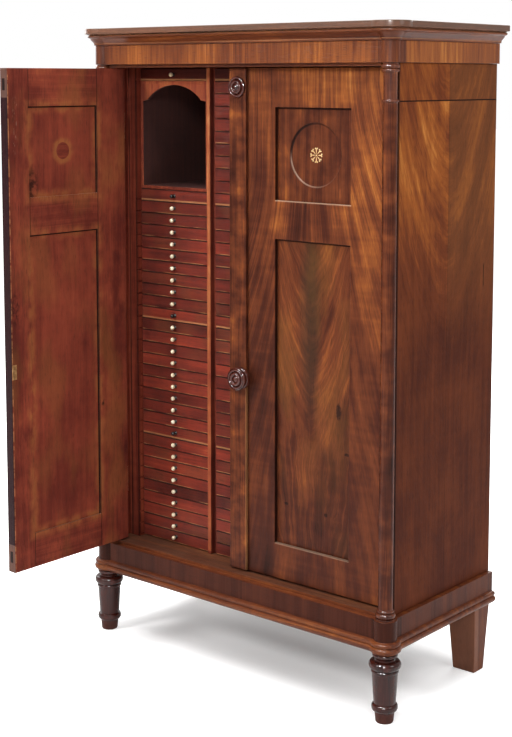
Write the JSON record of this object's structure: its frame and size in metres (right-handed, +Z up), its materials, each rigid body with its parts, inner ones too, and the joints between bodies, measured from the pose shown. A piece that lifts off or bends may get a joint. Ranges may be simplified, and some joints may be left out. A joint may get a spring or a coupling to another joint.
{
  "type": "collectors cabinet",
  "caption": "Upright mahogany collectors cabinet on turned feet, with corner columns, a moulded cornice, two panelled doors, and banks of shallow knobbed drawers by an arched pigeonhole.",
  "frame": {"origin": "on the floor, below the middle of the box round the cabinet with its left door open", "axes": "+Z up, -Y out of the front, +X to the right as the front is faced"},
  "size_m": [0.874, 0.707, 1.4],
  "materials": {
    "polished_mahogany": "French polished figured mahogany veneer",
    "dark_mahogany": "French polished dark turned mahogany",
    "red_mahogany": "waxed red mahogany, worn satin",
    "brass": "aged brass"
  },
  "bodies": {
    "carcass": {"cornice": "polished_mahogany", "frieze": "polished_mahogany", "plinth": "polished_mahogany", "side_left": "polished_mahogany", "side_right": "polished_mahogany", "back_panel": "red_mahogany", "column_left": "dark_mahogany", "column_right": "dark_mahogany", "foot_front_left": "dark_mahogany", "foot_front_right": "dark_mahogany", "foot_rear_left": "dark_mahogany", "foot_rear_right": "dark_mahogany", "divider_left": "red_mahogany", "divider_right": "red_mahogany", "pigeonhole": "red_mahogany", "bank_middle": "red_mahogany", "bank_right": "red_mahogany", "hinge_left_upper": "brass", "hinge_left_lower": "brass", "hinge_right_upper": "brass", "hinge_right_lower": "brass"},
    "door_left": {"door_left_frame": "polished_mahogany", "door_left_upper_panel": "polished_mahogany", "door_left_lower_panel": "polished_mahogany"},
    "door_right": {"door_right_frame": "polished_mahogany", "door_right_upper_panel": "polished_mahogany", "door_right_lower_panel": "polished_mahogany", "meeting_strip": "dark_mahogany", "pull_knob": "dark_mahogany"},
    "drawer_01": {"drawer_01": "red_mahogany"},
    "drawer_02": {"drawer_02": "red_mahogany"},
    "drawer_03": {"drawer_03": "red_mahogany"},
    "drawer_04": {"drawer_04": "red_mahogany"},
    "drawer_05": {"drawer_05": "red_mahogany"},
    "drawer_06": {"drawer_06": "red_mahogany"},
    "drawer_07": {"drawer_07": "red_mahogany"},
    "drawer_08": {"drawer_08": "red_mahogany"},
    "drawer_09": {"drawer_09": "red_mahogany"},
    "drawer_10": {"drawer_10": "red_mahogany"},
    "drawer_11": {"drawer_11": "red_mahogany"},
    "drawer_12": {"drawer_12": "red_mahogany"},
    "drawer_13": {"drawer_13": "red_mahogany"},
    "drawer_14": {"drawer_14": "red_mahogany"},
    "drawer_15": {"drawer_15": "red_mahogany"},
    "drawer_16": {"drawer_16": "red_mahogany"},
    "drawer_17": {"drawer_17": "red_mahogany"},
    "drawer_18": {"drawer_18": "red_mahogany"},
    "drawer_19": {"drawer_19": "red_mahogany"},
    "drawer_20": {"drawer_20": "red_mahogany"},
    "drawer_21": {"drawer_21": "red_mahogany"},
    "drawer_22": {"drawer_22": "red_mahogany"},
    "drawer_23": {"drawer_23": "red_mahogany"},
    "drawer_24": {"drawer_24": "red_mahogany"},
    "drawer_25": {"drawer_25": "red_mahogany"},
    "drawer_26": {"drawer_26": "red_mahogany"},
    "drawer_27": {"drawer_27": "red_mahogany"},
    "drawer_28": {"drawer_28": "red_mahogany"},
    "drawer_29": {"drawer_29": "red_mahogany"},
    "drawer_30": {"drawer_30": "red_mahogany"},
    "drawer_31": {"drawer_31": "red_mahogany"}
  },
  "joints": [
    {"name": "door_left_hinge", "type": "hinge", "parent": "carcass", "child": "door_left", "pos_m": [-0.3725, -0.01355, 0.768], "axis": [0, 0, -1], "range_deg": [-91, 12]},
    {"name": "door_right_hinge", "type": "hinge", "parent": "carcass", "child": "door_right", "pos_m": [0.3725, -0.01355, 0.768], "axis": [0, 0, 1], "range_deg": [0, 103]},
    {"name": "drawer_01_slide", "type": "slide", "parent": "carcass", "child": "drawer_01", "axis": [0, -1, 0], "range_m": [0, 0.26]},
    {"name": "drawer_02_slide", "type": "slide", "parent": "carcass", "child": "drawer_02", "axis": [0, -1, 0], "range_m": [0, 0.26]},
    {"name": "drawer_03_slide", "type": "slide", "parent": "carcass", "child": "drawer_03", "axis": [0, -1, 0], "range_m": [0, 0.26]},
    {"name": "drawer_04_slide", "type": "slide", "parent": "carcass", "child": "drawer_04", "axis": [0, -1, 0], "range_m": [0, 0.26]},
    {"name": "drawer_05_slide", "type": "slide", "parent": "carcass", "child": "drawer_05", "axis": [0, -1, 0], "range_m": [0, 0.26]},
    {"name": "drawer_06_slide", "type": "slide", "parent": "carcass", "child": "drawer_06", "axis": [0, -1, 0], "range_m": [0, 0.26]},
    {"name": "drawer_07_slide", "type": "slide", "parent": "carcass", "child": "drawer_07", "axis": [0, -1, 0], "range_m": [0, 0.26]},
    {"name": "drawer_08_slide", "type": "slide", "parent": "carcass", "child": "drawer_08", "axis": [0, -1, 0], "range_m": [0, 0.26]},
    {"name": "drawer_09_slide", "type": "slide", "parent": "carcass", "child": "drawer_09", "axis": [0, -1, 0], "range_m": [0, 0.26]},
    {"name": "drawer_10_slide", "type": "slide", "parent": "carcass", "child": "drawer_10", "axis": [0, -1, 0], "range_m": [0, 0.26]},
    {"name": "drawer_11_slide", "type": "slide", "parent": "carcass", "child": "drawer_11", "axis": [0, -1, 0], "range_m": [0, 0.26]},
    {"name": "drawer_12_slide", "type": "slide", "parent": "carcass", "child": "drawer_12", "axis": [0, -1, 0], "range_m": [0, 0.26]},
    {"name": "drawer_13_slide", "type": "slide", "parent": "carcass", "child": "drawer_13", "axis": [0, -1, 0], "range_m": [0, 0.26]},
    {"name": "drawer_14_slide", "type": "slide", "parent": "carcass", "child": "drawer_14", "axis": [0, -1, 0], "range_m": [0, 0.26]},
    {"name": "drawer_15_slide", "type": "slide", "parent": "carcass", "child": "drawer_15", "axis": [0, -1, 0], "range_m": [0, 0.26]},
    {"name": "drawer_16_slide", "type": "slide", "parent": "carcass", "child": "drawer_16", "axis": [0, -1, 0], "range_m": [0, 0.26]},
    {"name": "drawer_17_slide", "type": "slide", "parent": "carcass", "child": "drawer_17", "axis": [0, -1, 0], "range_m": [0, 0.26]},
    {"name": "drawer_18_slide", "type": "slide", "parent": "carcass", "child": "drawer_18", "axis": [0, -1, 0], "range_m": [0, 0.26]},
    {"name": "drawer_19_slide", "type": "slide", "parent": "carcass", "child": "drawer_19", "axis": [0, -1, 0], "range_m": [0, 0.26]},
    {"name": "drawer_20_slide", "type": "slide", "parent": "carcass", "child": "drawer_20", "axis": [0, -1, 0], "range_m": [0, 0.26]},
    {"name": "drawer_21_slide", "type": "slide", "parent": "carcass", "child": "drawer_21", "axis": [0, -1, 0], "range_m": [0, 0.26]},
    {"name": "drawer_22_slide", "type": "slide", "parent": "carcass", "child": "drawer_22", "axis": [0, -1, 0], "range_m": [0, 0.26]},
    {"name": "drawer_23_slide", "type": "slide", "parent": "carcass", "child": "drawer_23", "axis": [0, -1, 0], "range_m": [0, 0.26]},
    {"name": "drawer_24_slide", "type": "slide", "parent": "carcass", "child": "drawer_24", "axis": [0, -1, 0], "range_m": [0, 0.26]},
    {"name": "drawer_25_slide", "type": "slide", "parent": "carcass", "child": "drawer_25", "axis": [0, -1, 0], "range_m": [0, 0.26]},
    {"name": "drawer_26_slide", "type": "slide", "parent": "carcass", "child": "drawer_26", "axis": [0, -1, 0], "range_m": [0, 0.26]},
    {"name": "drawer_27_slide", "type": "slide", "parent": "carcass", "child": "drawer_27", "axis": [0, -1, 0], "range_m": [0, 0.26]},
    {"name": "drawer_28_slide", "type": "slide", "parent": "carcass", "child": "drawer_28", "axis": [0, -1, 0], "range_m": [0, 0.26]},
    {"name": "drawer_29_slide", "type": "slide", "parent": "carcass", "child": "drawer_29", "axis": [0, -1, 0], "range_m": [0, 0.26]},
    {"name": "drawer_30_slide", "type": "slide", "parent": "carcass", "child": "drawer_30", "axis": [0, -1, 0], "range_m": [0, 0.26]},
    {"name": "drawer_31_slide", "type": "slide", "parent": "carcass", "child": "drawer_31", "axis": [0, -1, 0], "range_m": [0, 0.26]}
  ]
}
